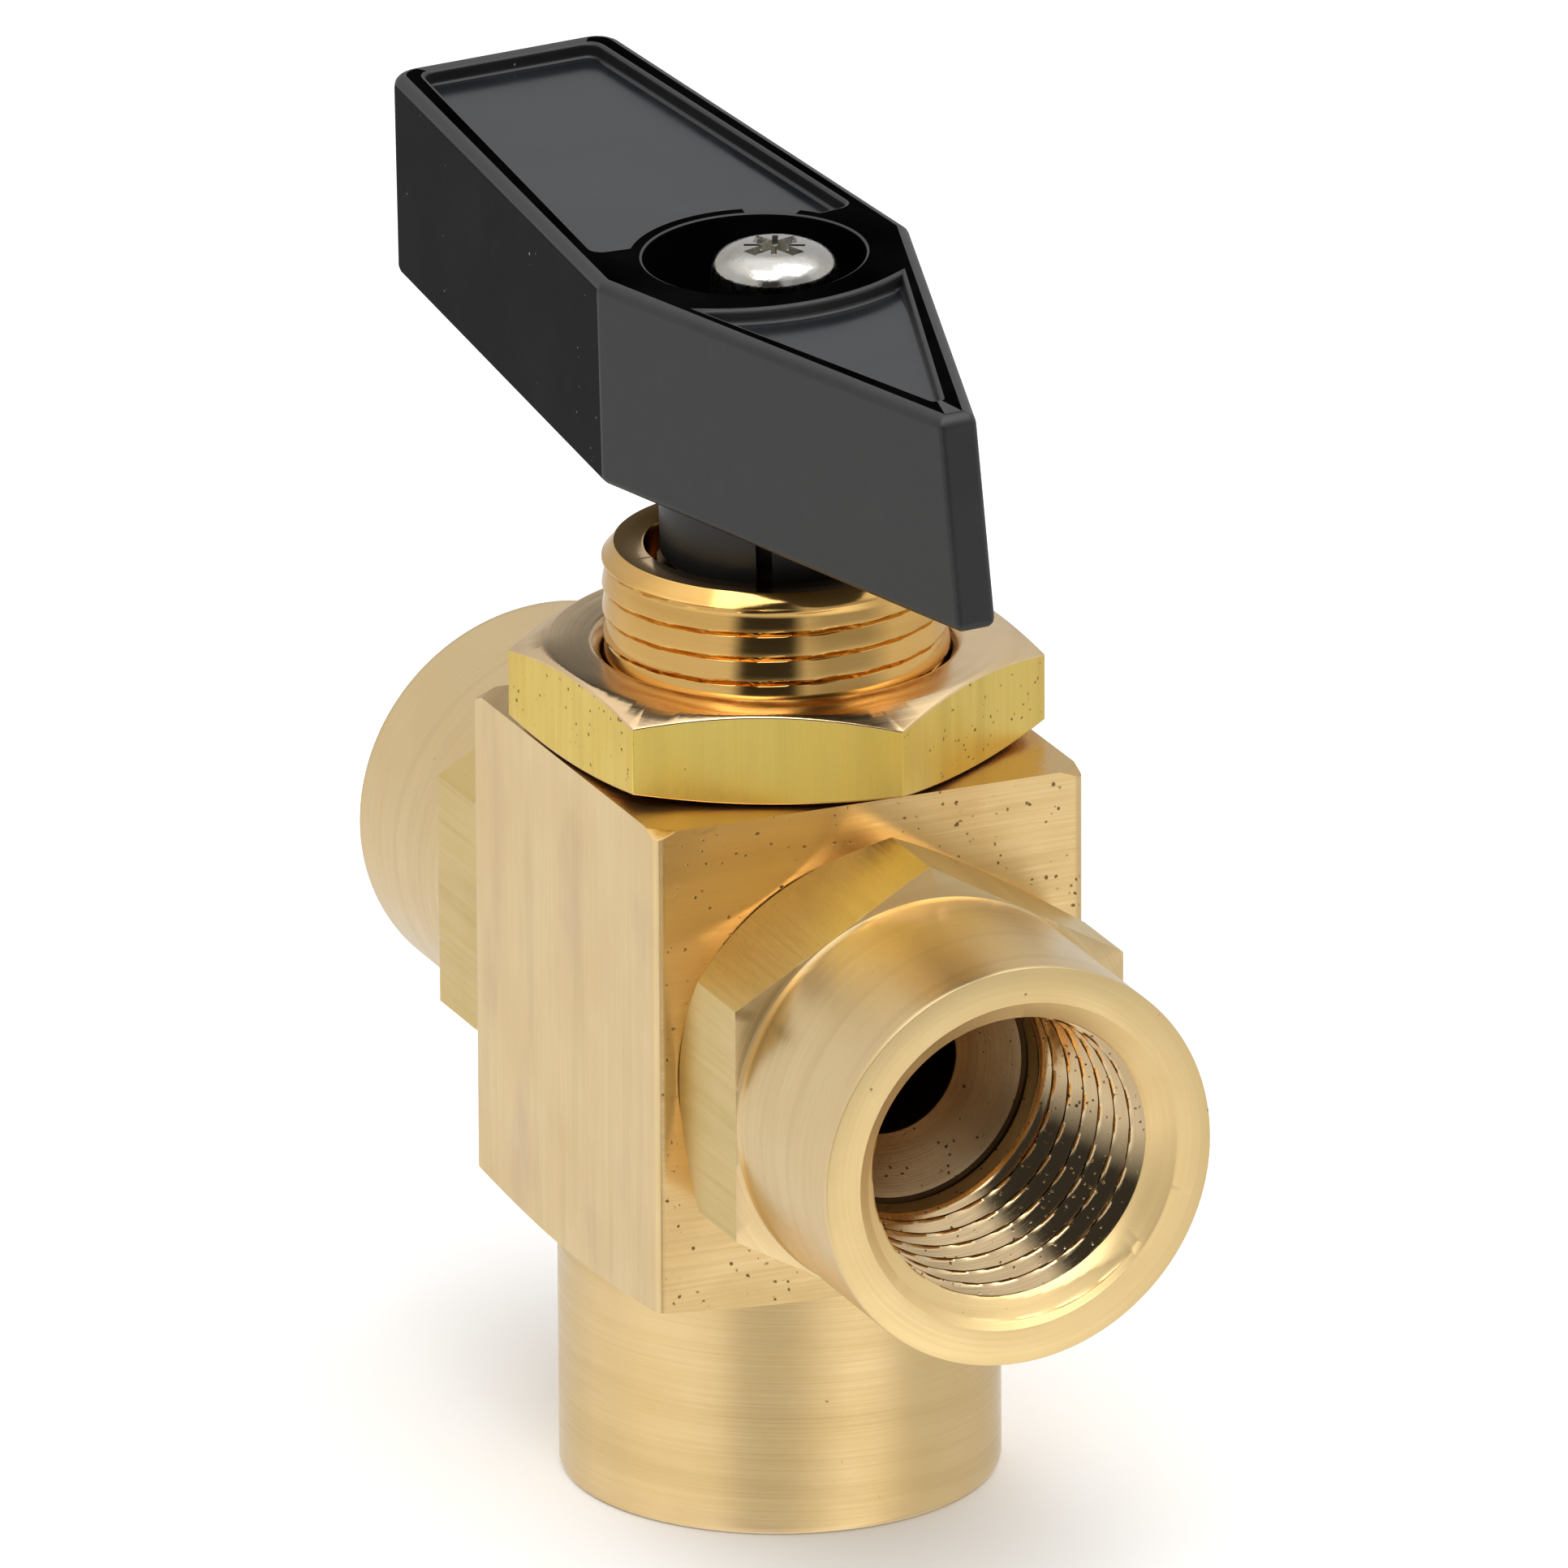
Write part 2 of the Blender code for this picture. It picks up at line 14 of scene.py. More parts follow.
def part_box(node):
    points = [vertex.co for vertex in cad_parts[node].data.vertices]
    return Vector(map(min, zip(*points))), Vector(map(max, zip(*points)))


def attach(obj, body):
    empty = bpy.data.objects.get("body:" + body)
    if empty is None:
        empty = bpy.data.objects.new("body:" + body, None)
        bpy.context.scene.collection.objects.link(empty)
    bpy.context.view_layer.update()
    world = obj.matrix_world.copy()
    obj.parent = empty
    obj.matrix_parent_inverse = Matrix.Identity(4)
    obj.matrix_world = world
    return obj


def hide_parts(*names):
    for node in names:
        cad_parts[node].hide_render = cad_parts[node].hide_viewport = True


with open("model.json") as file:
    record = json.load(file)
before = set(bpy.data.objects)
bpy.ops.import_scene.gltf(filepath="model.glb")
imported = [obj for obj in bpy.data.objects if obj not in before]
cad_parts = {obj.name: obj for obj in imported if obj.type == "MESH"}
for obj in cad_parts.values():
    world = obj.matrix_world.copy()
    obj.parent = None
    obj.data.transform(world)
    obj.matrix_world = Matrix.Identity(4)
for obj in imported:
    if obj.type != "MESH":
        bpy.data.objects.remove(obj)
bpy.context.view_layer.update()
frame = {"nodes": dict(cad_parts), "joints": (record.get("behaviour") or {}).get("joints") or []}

MM = 0.001
TURN = 2 * math.pi
SHARP = math.radians(38)

HINGE = next(joint for joint in frame["joints"] if joint["name"] == "handle_turn")
CENTRE = Vector(HINGE["pos_m"])


def reach(node, axis, side):
    """How far a CAD node reaches from the valve centre along an axis, in millimetres."""
    return (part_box(node)[side][axis] - CENTRE[axis]) / MM


BAR = reach("valve_body", 1, 1) * 2          # square bar of the body, across flats
BASE = reach("valve_body", 2, 0)             # end face of the bottom port
RIM = reach("valve_body", 2, 1)              # end face of the neck
MOUTH = reach("end_adapter_right", 0, 1)     # end face of a side port
NUT_LOW = reach("panel_nut", 2, 0)
NUT_HIGH = reach("panel_nut", 2, 1)
HANDLE_LOW = 22.15           # underside of the bar, above the hub
HANDLE_HIGH = reach("handle", 2, 1)
HANDLE_REAR = reach("handle", 0, 0)
HUB_LOW = reach("handle", 2, 0)
HEAD_HIGH = reach("handle_screw", 2, 1)
SCREW_TIP = reach("handle_screw", 2, 0)

# The handle sits loosely on the flats of the stem and leans a little to the front and side.
PIVOT = Matrix.Translation((0, 0, HANDLE_LOW * MM))
LEAN = PIVOT @ Matrix.Rotation(0.042, 4, "X") @ Matrix.Rotation(0.028, 4, "Y") @ PIVOT.inverted()

BLOCK_TOP = 10.78
SHOULDER = -10.58            # the block's lower face
BODY_BOSS = 9.15             # radius of the lower boss
NECK = 7.14                  # radius of the neck's thread
NECK_PITCH = 1.058           # 24 threads an inch
NECK_BORE = 5.41
STEM_BORE = 3.1
NOSE_BORE = 6.5              # the body's cross bore, which takes the adapters' noses
PORT_BOSS = 8.5              # radius of an adapter's boss
PORT_SHOULDER = 15.47        # the outer face of an adapter's hexagon
PIPE_PITCH = 1.411           # 18 threads an inch
PIPE_CREST = 5.90            # radius of the pipe thread's crests at the mouth
PIPE_DEPTH = 0.86
PASSAGE = 3.0
WELL_X = -1.45               # the round well in the handle's top, which holds the screw
WELL = 4.55
WELL_FLOOR = 26.5


# ---------------------------------------------------------------- mesh building

def add_object(name, mesh):
    obj = bpy.data.objects.new(name, mesh)
    bpy.context.scene.collection.objects.link(obj)
    return obj


def mesh_object(name, points, faces):
    """A mesh object from points in millimetres."""
    mesh = bpy.data.meshes.new(name)
    mesh.from_pydata([(x * MM, y * MM, z * MM) for x, y, z in points], [], faces)
    mesh.update()
    return add_object(name, mesh)


def revolve(name, rows, steps=128, ring=False, thread=None):
    """Turn rows of (radius, height[, thread depth]) about Z, down the outer side.

    thread is (pitch, form): form(phase) scales the row's thread depth along a helix."""
    points = []
    starts = []
    for row in rows:
        radius, height = row[0], row[1]
        depth = row[2] if len(row) > 2 else 0.0
        starts.append(len(points))
        if radius == 0:
            points.append((0, 0, height))
            continue
        for j in range(steps):
            angle = TURN * j / steps
            r = radius
            if depth:
                r += depth * thread[1]((height / thread[0] - j / steps) % 1)
            points.append((r * math.cos(angle), r * math.sin(angle), height))
    faces = []
    last = len(rows) if ring else len(rows) - 1
    for i in range(last):
        k = (i + 1) % len(rows)
        for j in range(steps):
            n = (j + 1) % steps
            upper = [starts[i]] if rows[i][0] == 0 else [starts[i] + n, starts[i] + j]
            lower = [starts[k]] if rows[k][0] == 0 else [starts[k] + j, starts[k] + n]
            faces.append(upper + lower)
    return mesh_object(name, points, faces)


def loft(name, rings):
    """A closed solid through rings of equal count, each (outline, height), bottom first."""
    points = []
    faces = []
    count = len(rings[0][0])
    for outline, height in rings:
        points += [(x, y, height) for x, y in outline]
    for i in range(len(rings) - 1):
        for j in range(count):
            n = (j + 1) % count
            faces.append((i * count + j, i * count + n, (i + 1) * count + n, (i + 1) * count + j))
    faces.append(tuple(reversed(range(count))))
    faces.append(tuple(range((len(rings) - 1) * count, len(rings) * count)))
    return mesh_object(name, points, faces)


def box(name, low, high, turn=0.0):
    x0, y0, z0 = low
    x1, y1, z1 = high
    obj = loft(name, [([(x0, y0), (x1, y0), (x1, y1), (x0, y1)], z0),
                      ([(x0, y0), (x1, y0), (x1, y1), (x0, y1)], z1)])
    obj.data.transform(Matrix.Rotation(turn, 4, "Z"))
    return obj


def prism(name, sides, across_flats, low, high, turn=0.0):
    corner = across_flats / 2 / math.cos(math.pi / sides)
    outline = [(corner * math.cos(turn + TURN * i / sides),
                corner * math.sin(turn + TURN * i / sides)) for i in range(sides)]
    return loft(name, [(outline, low), (outline, high)])


def bake(obj):
    """Apply every modifier."""
    shape = obj.evaluated_get(bpy.context.evaluated_depsgraph_get())
    mesh = bpy.data.meshes.new_from_object(shape)
    old = obj.data
    obj.modifiers.clear()
    obj.data = mesh
    bpy.data.meshes.remove(old)
    return obj


def combine(obj, tool, operation="DIFFERENCE"):
    """Boolean obj with a tool and throw the tool away."""
    modifier = obj.modifiers.new("cut", "BOOLEAN")
    modifier.operation = operation
    modifier.solver = "EXACT"
    modifier.object = tool
    bake(obj)
    bpy.data.objects.remove(tool, do_unlink=True)
    return obj


def bevel(obj, width, segments=2, angle=30, low=-100, high=100, beyond=0):
    """Round the edges sharper than angle, between two heights and beyond a radius."""
    bm = bmesh.new()
    bm.from_mesh(obj.data)
    weight = bm.edges.layers.float.new("bevel_weight_edge")
    for edge in bm.edges:
        middle = (edge.verts[0].co + edge.verts[1].co) / 2 / MM
        outside = low < middle.z < high and math.hypot(*middle.xy) > beyond
        if outside and edge.calc_face_angle(0) > math.radians(angle):
            edge[weight] = 1.0
    bm.to_mesh(obj.data)
    bm.free()
    modifier = obj.modifiers.new("edges", "BEVEL")
    modifier.width = width * MM
    modifier.segments = segments
    modifier.limit_method = "WEIGHT"
    return bake(obj)


def smooth(obj, angle=SHARP):
    obj.data.shade_smooth()
    obj.data.set_sharp_from_angle(angle=angle)
    weighted = obj.modifiers.new("weighted_normals", "WEIGHTED_NORMAL")
    weighted.keep_sharp = True
    weighted.weight = 60
    return bake(obj)


def rounded(corners):
    """An outline through (x, y, radius, arc points) corners, each rounded by its radius."""
    outline = []
    count = len(corners)
    for i, (x, y, radius, steps) in enumerate(corners):
        here = Vector((x, y))
        if radius == 0:
            outline.append((x, y))
            continue
        before = (Vector(corners[i - 1][:2]) - here).normalized()
        after = (Vector(corners[(i + 1) % count][:2]) - here).normalized()
        half = math.acos(max(-1, min(1, before.dot(after)))) / 2
        centre = here + (before + after).normalized() * (radius / math.sin(half))
        start = here + before * (radius / math.tan(half)) - centre
        stop = here + after * (radius / math.tan(half)) - centre
        a0 = math.atan2(start.y, start.x)
        sweep = (math.atan2(stop.y, stop.x) - a0 + math.pi) % TURN - math.pi
        for k in range(steps + 1):
            a = a0 + sweep * k / steps
            outline.append((centre.x + radius * math.cos(a), centre.y + radius * math.sin(a)))
    return outline


def inset(outline, distance):
    """Move a counter-clockwise outline inwards, or outwards when distance is negative."""
    moved = []
    count = len(outline)
    for i in range(count):
        here = Vector(outline[i])
        before = here - Vector(outline[i - 1])
        after = Vector(outline[(i + 1) % count]) - here
        if before.length < 1e-6 or after.length < 1e-6:
            before = after = before if before.length > after.length else after
        left = Vector((-before.y, before.x)).normalized() + Vector((-after.y, after.x)).normalized()
        left.normalize()
        side = Vector((-before.y, before.x)).normalized()
        moved.append(tuple(here + left * (distance / max(0.4, left.dot(side)))))
    return moved


def arc(centre_x, radius, start, stop, steps):
    """Points on a circle about (centre_x, 0), angles in degrees."""
    angles = [math.radians(start + (stop - start) * i / steps) for i in range(steps + 1)]
    return [(centre_x + radius * math.cos(a), radius * math.sin(a)) for a in angles]


# ---------------------------------------------------------------- materials

def node(tree, kind, inputs=(), **settings):
    """Add a node; inputs are (socket name or number, value or output socket)."""
    made = tree.nodes.new(kind)
    for name, value in settings.items():
        setattr(made, name, value)
    for socket, value in inputs:
        if isinstance(value, bpy.types.NodeSocket):
            tree.links.new(value, made.inputs[socket])
        else:
            made.inputs[socket].default_value = value
    return made


def new_material(name):
    material = bpy.data.materials.new(name)
    material.use_nodes = True
    return material, material.node_tree, material.node_tree.nodes["Principled BSDF"]


def rgba(colour):
    return (*colour, 1)


def fine_vector(tree, place, grain, across, along):
    """Coordinates stretched along the grain: a letter is its axis, turned runs round Z."""
    if grain == "turned":
        parts = node(tree, "ShaderNodeSeparateXYZ", [(0, place)])
        x2 = node(tree, "ShaderNodeMath", [(0, parts.outputs[0]), (1, parts.outputs[0])],
                  operation="MULTIPLY")
        y2 = node(tree, "ShaderNodeMath", [(0, parts.outputs[1]), (1, parts.outputs[1])],
                  operation="MULTIPLY")
        total = node(tree, "ShaderNodeMath", [(0, x2.outputs[0]), (1, y2.outputs[0])],
                     operation="ADD")
        radius = node(tree, "ShaderNodeMath", [(0, total.outputs[0])], operation="SQRT")
        ring = node(tree, "ShaderNodeCombineXYZ",
                    [(0, radius.outputs[0]), (1, parts.outputs[2])])
        scaled = node(tree, "ShaderNodeVectorMath", [(0, ring.outputs[0]), (1, (across,) * 3)],
                      operation="MULTIPLY")
        drift = node(tree, "ShaderNodeVectorMath", [(0, place), (1, (along,) * 3)],
                     operation="MULTIPLY")
        both = node(tree, "ShaderNodeVectorMath",
                    [(0, scaled.outputs[0]), (1, drift.outputs[0])], operation="ADD")
        return both.outputs[0]
    scale = [across] * 3
    scale["XYZ".index(grain)] = along
    stretched = node(tree, "ShaderNodeVectorMath", [(0, place), (1, tuple(scale))],
                     operation="MULTIPLY")
    return stretched.outputs[0]


def noise(tree, vector, scale, detail=3, rough=0.55):
    made = node(tree, "ShaderNodeTexNoise",
                [("Vector", vector), ("Scale", scale), ("Detail", detail), ("Roughness", rough)])
    return made.outputs[0]


def remap(tree, value, low, high, to_low, to_high):
    made = node(tree, "ShaderNodeMapRange",
                [(0, value), (1, low), (2, high), (3, to_low), (4, to_high)])
    return made.outputs[0]


def mix_colour(tree, factor, one, two, blend="MIX"):
    made = tree.nodes.new("ShaderNodeMix")
    made.data_type = "RGBA"
    made.blend_type = blend
    made.clamp_factor = True
    for index, value in ((0, factor), (6, one), (7, two)):
        if isinstance(value, bpy.types.NodeSocket):
            tree.links.new(value, made.inputs[index])
        else:
            made.inputs[index].default_value = value
    return made.outputs[2]


def arithmetic(tree, operation, one, two):
    return node(tree, "ShaderNodeMath", [(0, one), (1, two)], operation=operation).outputs[0]


def mix_value(tree, factor, one, two):
    return node(tree, "ShaderNodeMix", [(0, factor), (2, one), (3, two)]).outputs[0]


def specks(tree, place, scale, size, cover):
    """A mask of small scattered marks: size against their spacing, cover from 0 to 1."""
    cells = node(tree, "ShaderNodeTexVoronoi",
                 [("Vector", place), ("Scale", scale), ("Randomness", 1.0)])
    ragged = remap(tree, noise(tree, place, scale * 2.2, 2), 0.3, 0.7, -size * 0.55, size * 0.75)
    edge = arithmetic(tree, "ADD", cells.outputs["Distance"], ragged)
    dots = remap(tree, edge, size * 0.5, size, 1, 0)
    patch = noise(tree, place, scale * 0.35, 2)
    where = remap(tree, patch, 1 - cover - 0.03, 1 - cover + 0.03, 0, 1)
    return arithmetic(tree, "MULTIPLY", dots, where)


def brass(name, light, deep, grain, rough=(0.2, 0.34), bump=0.000005, across=7000, along=120,
          blotch=0.6, stain=(0.62, 0.40, 0.30), stained=0.25, spots=0.28, pit=2300, aniso=0.0):
    """Machined brass: cutter marks along the grain, tarnish clouds, stains and small pits."""
    material, tree, shader = new_material(name)
    place = node(tree, "ShaderNodeTexCoord").outputs["Object"]
    marks = noise(tree, fine_vector(tree, place, grain, across, along), 1, 5, 0.65)
    wide = noise(tree, fine_vector(tree, place, grain, across / 9, along / 2), 1, 2)
    clouds = noise(tree, place, 190, 4)
    mottle = noise(tree, place, 1500, 3)

    tone = mix_colour(tree, remap(tree, clouds, 0.38, 0.68, 0, blotch), rgba(light), rgba(deep))
    patches = noise(tree, fine_vector(tree, place, grain, 330, 110), 1, 3)
    tone = mix_colour(tree, remap(tree, patches, 0.55, 0.72, 0, stained), tone, rgba(stain))
    streak = remap(tree, marks, 0.3, 0.75, 0, 0.55)
    tone = mix_colour(tree, streak, tone, rgba(deep))
    band = remap(tree, wide, 0.50, 0.72, 0, 0.40)
    tone = mix_colour(tree, band, tone, rgba(tuple(c * 0.82 for c in deep)))
    pits = specks(tree, place, pit, 0.20, spots)
    smears = specks(tree, fine_vector(tree, place, grain, 900, 380), 1, 0.30, spots * 0.6)
    tone = mix_colour(tree, arithmetic(tree, "MULTIPLY", smears, 0.5), tone,
                      rgba((0.16, 0.10, 0.05)))
    tone = mix_colour(tree, arithmetic(tree, "MULTIPLY", pits, 0.75), tone,
                      rgba((0.10, 0.06, 0.03)))
    tree.links.new(tone, shader.inputs["Base Color"])

    gloss = remap(tree, marks, 0.25, 0.75, rough[0], rough[1])
    gloss = arithmetic(tree, "ADD", gloss, remap(tree, clouds, 0.35, 0.7, 0, rough[0] * 0.3))
    gloss = arithmetic(tree, "ADD", gloss, arithmetic(tree, "MULTIPLY", pits, 0.3))
    tree.links.new(gloss, shader.inputs["Roughness"])
    shader.inputs["Metallic"].default_value = 1.0
    if aniso:
        shader.inputs["Anisotropic"].default_value = aniso
        tangent = node(tree, "ShaderNodeTangent", direction_type="RADIAL", axis="Z")
        tree.links.new(tangent.outputs[0], shader.inputs["Tangent"])

    height = arithmetic(tree, "ADD", marks, arithmetic(tree, "MULTIPLY", wide, 2.0))
    height = arithmetic(tree, "ADD", height, arithmetic(tree, "MULTIPLY", mottle, 0.5))
    height = arithmetic(tree, "SUBTRACT", height, arithmetic(tree, "MULTIPLY", pits, 2.5))
    relief = node(tree, "ShaderNodeBump",
                  [("Strength", 1.0), ("Distance", bump), ("Height", height)])
    tree.links.new(relief.outputs[0], shader.inputs["Normal"])
    return material


def plastic(name, colour, rough, grain_size=2600, bump=0.000006, dust=0.0, cloud=0.5, shine=0.5):
    """Moulded nylon: fine skin, faint clouds of gloss, and a little dust."""
    material, tree, shader = new_material(name)
    place = node(tree, "ShaderNodeTexCoord").outputs["Object"]
    skin = noise(tree, place, grain_size, 4)
    clouds = noise(tree, place, 160, 3)
    worn = noise(tree, place, 700, 4)
    lighter = tuple(c * 1.7 + 0.004 for c in colour)
    tone = mix_colour(tree, remap(tree, clouds, 0.35, 0.7, 0, cloud), rgba(colour), rgba(lighter))
    tone = mix_colour(tree, remap(tree, worn, 0.58, 0.75, 0, 0.25), tone, rgba(lighter))
    if dust:
        grains = specks(tree, place, 2300, 0.13, dust)
        tone = mix_colour(tree, arithmetic(tree, "MULTIPLY", grains, 0.8), tone,
                          rgba((0.35, 0.36, 0.36)))
    tree.links.new(tone, shader.inputs["Base Color"])
    gloss = remap(tree, clouds, 0.3, 0.7, rough[0], rough[1])
    tree.links.new(gloss, shader.inputs["Roughness"])
    shader.inputs["Specular IOR Level"].default_value = shine
    height = arithmetic(tree, "ADD", skin, arithmetic(tree, "MULTIPLY", clouds, 3.0))
    relief = node(tree, "ShaderNodeBump",
                  [("Strength", 1.0), ("Distance", bump), ("Height", height)])
    tree.links.new(relief.outputs[0], shader.inputs["Normal"])
    return material


def plated(name, colour, rough, tarnish=(0.42, 0.36, 0.26), worn=0.35, bump=0.000005):
    """Nickel or steel: bright, with soft dents, tarnish in patches and fine scratches."""
    material, tree, shader = new_material(name)
    place = node(tree, "ShaderNodeTexCoord").outputs["Object"]
    clouds = noise(tree, place, 700, 4)
    fine = noise(tree, place, 4200, 4)
    tone = mix_colour(tree, remap(tree, clouds, 0.5, 0.72, 0, worn), rgba(colour), rgba(tarnish))
    tree.links.new(tone, shader.inputs["Base Color"])
    tree.links.new(remap(tree, fine, 0.3, 0.7, rough[0], rough[1]), shader.inputs["Roughness"])
    shader.inputs["Metallic"].default_value = 1.0
    height = arithmetic(tree, "ADD", fine, arithmetic(tree, "MULTIPLY", clouds, 4.0))
    relief = node(tree, "ShaderNodeBump",
                  [("Strength", 1.0), ("Distance", bump), ("Height", height)])
    tree.links.new(relief.outputs[0], shader.inputs["Normal"])
    return material


YELLOW = (0.88, 0.66, 0.17)
DEEP_YELLOW = (0.76, 0.52, 0.10)
OLIVE = (0.70, 0.50, 0.15)

BRASS_SIDE = brass("brass_block_sides", (0.92, 0.71, 0.38), (0.83, 0.60, 0.30), "Z", rough=(0.26, 0.40),
                   stained=0.5, stain=(0.68, 0.48, 0.34))
# Painted shade: the block's ends and corners get a deeper base than its sides, for the darker
# reflections on them; the grain is real.
BRASS_END_PAINTED_SHADE = brass("brass_block_ends_painted_shade", (0.83, 0.61, 0.30), (0.74, 0.49, 0.20), "Y",
                  rough=(0.22, 0.36), spots=0.52, stained=0.5, stain=(0.60, 0.40, 0.16))
BRASS_TOP = brass("brass_block_top", (0.72, 0.49, 0.20), (0.62, 0.40, 0.15), "turned",
                  rough=(0.22, 0.34))
BRASS_BOSS = brass("brass_lower_boss", (0.83, 0.61, 0.31), (0.77, 0.53, 0.22), "turned",
                   rough=(0.17, 0.28), aniso=0.6)
# Painted shade: the neck is the block's own brass, given a deeper, more orange base for the shade and
# reflections in its thread grooves.
BRASS_NECK_PAINTED_SHADE = brass("brass_neck_thread_painted_shade", (0.80, 0.51, 0.18), (0.70, 0.40, 0.11), "turned",
                   rough=(0.08, 0.16), spots=0.22, bump=0.000002)
BRASS_HEX = brass("brass_adapter_flats", (0.80, 0.60, 0.27), OLIVE, "Z", rough=(0.24, 0.38),
                  stained=0.15)
BRASS_TURNED = brass("brass_adapter_turned", (0.86, 0.66, 0.36), (0.78, 0.56, 0.27), "turned",
                     rough=(0.24, 0.36), stained=0.15, stain=(0.74, 0.52, 0.36), aniso=0.3)
BRASS_BORE = brass("brass_bore", (0.84, 0.64, 0.38), (0.72, 0.52, 0.28), "turned",
                   rough=(0.05, 0.12), spots=0.55, pit=2900, aniso=0.2, across=9000,
                   bump=0.000004)
BRASS_CONE = brass("brass_bore_end", (0.95, 0.75, 0.46), (0.86, 0.64, 0.35), "turned",
                   rough=(0.30, 0.42), spots=0.50, pit=2900, aniso=0.7, across=12000,
                   bump=0.000010)
# Painted light: the ports' end faces get a paler base than the rest of each fitting, to look more
# brightly lit; their rougher finish is real.
BRASS_MOUTH_PAINTED_LIGHT = brass("brass_mouth_painted_light", (0.99, 0.75, 0.37), (0.93, 0.68, 0.32), "turned",
                    rough=(0.34, 0.44), stained=0.1, spots=0.34, blotch=0.3)
# Painted shade: dark brown brass for the port's passage and the groove by the cone, as dark as the
# shade deep in the port.
BRASS_PASSAGE_PAINTED_SHADE = brass("brass_passage_painted_shade", (0.16, 0.09, 0.04), (0.10, 0.05, 0.02), "turned",
                      rough=(0.4, 0.5))
BRASS_NUT = brass("brass_nut_flats", YELLOW, DEEP_YELLOW, "Z", rough=(0.26, 0.42), stained=0.2,
                  stain=(0.60, 0.44, 0.20), spots=0.5)
# Painted light: the nut's front flat, which faces the key light, is a brighter copy of the nut's brass.
BRASS_NUT_FRONT_PAINTED_LIGHT = brass("brass_nut_front_flat_painted_light", (1.0, 0.80, 0.23), (0.94, 0.70, 0.16), "Z",
                        rough=(0.40, 0.52), stained=0.1, spots=0.3)
# Painted light: the nut's turned faces get a base raised by about a seventh to keep them bright; the
# turned grain is real.
BRASS_NUT_TOP_PAINTED_LIGHT = brass("brass_nut_turned_painted_light", (0.90, 0.68, 0.40), (0.74, 0.50, 0.24), "turned",
                      rough=(0.14, 0.26), aniso=0.7, across=5200, bump=0.000006)
BRASS_INNER = brass("brass_gland", (0.74, 0.55, 0.30), (0.62, 0.42, 0.2), "turned")
HANDLE_SKIN = plastic("nylon_flanks", (0.012, 0.012, 0.0115), (0.36, 0.50), dust=0.22, shine=0.45)
HANDLE_REAR_FLANK = plastic("nylon_rear_flanks", (0.013, 0.013, 0.013), (0.60, 0.75), dust=0.35,
                            shine=0.02)
HANDLE_PANEL = plastic("nylon_panels", (0.008, 0.009, 0.011), (0.14, 0.24), bump=0.000003,
                       shine=0.36)
# Painted shade: the well round the screw and everything inside it are near-black nylon, for the shade
# inside the well.
HANDLE_WELL_PAINTED_SHADE = plastic("nylon_well_painted_shade", (0.0006, 0.0006, 0.0006), (0.85, 0.95), shine=0.0)
NICKEL = plated("nickel_screw", (0.50, 0.49, 0.46), (0.10, 0.24), worn=0.6, bump=0.000009)
STEEL = plated("steel_stem", (0.60, 0.60, 0.60), (0.20, 0.36), (0.40, 0.38, 0.34), 0.2)
# Painted shade: the ball is given a dark finish so the passage behind it reads dark.
BALL_PAINTED_SHADE = plated("ball_painted_shade", (0.13, 0.09, 0.06), (0.20, 0.30), (0.10, 0.06, 0.03))
PTFE = plastic("ptfe", (0.72, 0.72, 0.69), (0.40, 0.55), cloud=0.2)
RUBBER = plastic("seal_rubber", (0.02, 0.02, 0.02), (0.55, 0.7))


def paint(obj, materials, choose):
    """Give each face the material that choose(centre, normal) names, both in mm and local."""
    for material in materials:
        obj.data.materials.append(material)
    for face in obj.data.polygons:
        face.material_index = materials.index(choose(face.center / MM, face.normal))


# ---------------------------------------------------------------- threads and sockets

def panel_form(phase):
    """Wide crests that lean in upwards, with a narrow groove between: 0 outermost, -1 the root."""
    above = (phase - 0.5) % 1
    groove = 0.11
    if above < groove:
        return above / groove - 1
    if above > 1 - groove:
        return -0.42 - 0.58 * (above - 1 + groove) / groove
    return -0.42 * ((above - groove) / (1 - 2 * groove)) ** 1.4


def pipe_form(phase):
    """A V thread with narrow flat crests: 0 on the crest, 1 in the root."""
    wave = abs(phase * 2 - 1)
    return min(1, max(0, (wave - 0.12) / 0.80))


def cut_socket(obj, mouth, bottom, turn=0.0):
    """Cut a tapered pipe thread socket, its mouth up Z at the height mouth, turned about X."""
    above = 0.3
    end = 10.5                  # depth at which the thread has run out
    run_out = 0.7
    rows = [(0, mouth + above)]
    depth = -above
    while depth < end:
        fade = min(1, (end - depth) / run_out)
        rows.append((PIPE_CREST - depth / 28, mouth - depth, PIPE_DEPTH * fade))
        depth += PIPE_PITCH / 22
    groove_and_cone = ((5.66, end + 0.05), (5.40, 11.20), (5.60, 11.26), (5.60, 11.44),
                       (5.22, 11.48), (PASSAGE + 0.04, 13.1), (PASSAGE, 13.2))
    rows += [(radius, mouth - depth) for radius, depth in groove_and_cone]
    rows += [(PASSAGE, bottom), (0, bottom)]
    thread = revolve("thread", rows, 144, False, (PIPE_PITCH, pipe_form))
    countersink = revolve("countersink", [
        (0, mouth + 0.5), (7.50, mouth + 0.5), (7.00, mouth + 0.01), (6.95, mouth - 0.03),
        (6.18, mouth - 0.64), (5.7, mouth - 1.20), (0, mouth - 1.20)], 144)
    for tool in (thread, countersink):
        tool.data.transform(Matrix.Rotation(turn, 4, "X"))
        combine(obj, tool)


# ---------------------------------------------------------------- brass pieces

def set_down(obj, body, replaced, rotation=(0, 0, 0)):
    """Place a piece at the valve centre and let it ride on its body."""
    obj.location = CENTRE
    obj.rotation_euler = rotation
    bpy.context.view_layer.update()
    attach(obj, body)
    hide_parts(replaced)
    return obj


